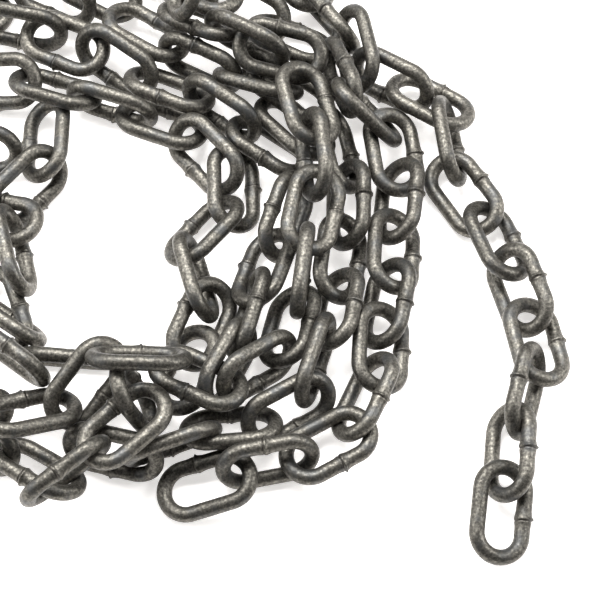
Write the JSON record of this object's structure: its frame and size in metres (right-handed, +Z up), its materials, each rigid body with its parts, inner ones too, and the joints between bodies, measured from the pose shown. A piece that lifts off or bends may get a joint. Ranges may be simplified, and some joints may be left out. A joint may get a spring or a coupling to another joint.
{
  "type": "heap of iron chain",
  "caption": "Loose heap of short-link welded steel chain laid in loops on a floor, with a free end link at two corners.",
  "frame": {"origin": "middle of the heap's bounding box, on the floor", "axes": "+Z up from the floor, +Y away from the side the picture was taken from, +X to the picture's right"},
  "size_m": [0.2221, 0.2387, 0.0403],
  "materials": {
    "chain_steel": "dull grey, dark mottled mill skin, slightly rough"
  },
  "bodies": {
    "root": {"corner_run_1": "chain_steel", "edge_run_1": "chain_steel", "front_run_1": "chain_steel", "front_run_2": "chain_steel", "front_run_3": "chain_steel", "front_run_4": "chain_steel", "inner_run_1": "chain_steel", "inner_run_2": "chain_steel", "inner_run_3": "chain_steel", "left_run_1": "chain_steel", "link_end_front": "chain_steel", "link_end_right": "chain_steel", "low_run_1": "chain_steel", "low_run_2": "chain_steel", "middle_run_1": "chain_steel", "middle_run_2": "chain_steel", "middle_run_3": "chain_steel", "rear_run_1": "chain_steel", "ridge_run_1": "chain_steel", "ridge_run_2": "chain_steel", "ridge_run_3": "chain_steel", "ridge_run_4": "chain_steel", "right_run_1": "chain_steel", "right_run_2": "chain_steel", "right_run_3": "chain_steel", "second_run_1": "chain_steel", "second_run_2": "chain_steel", "side_run_1": "chain_steel", "under_run_1": "chain_steel", "upper_run_1": "chain_steel", "upper_run_2": "chain_steel", "upper_run_3": "chain_steel"}
  },
  "joints": []
}
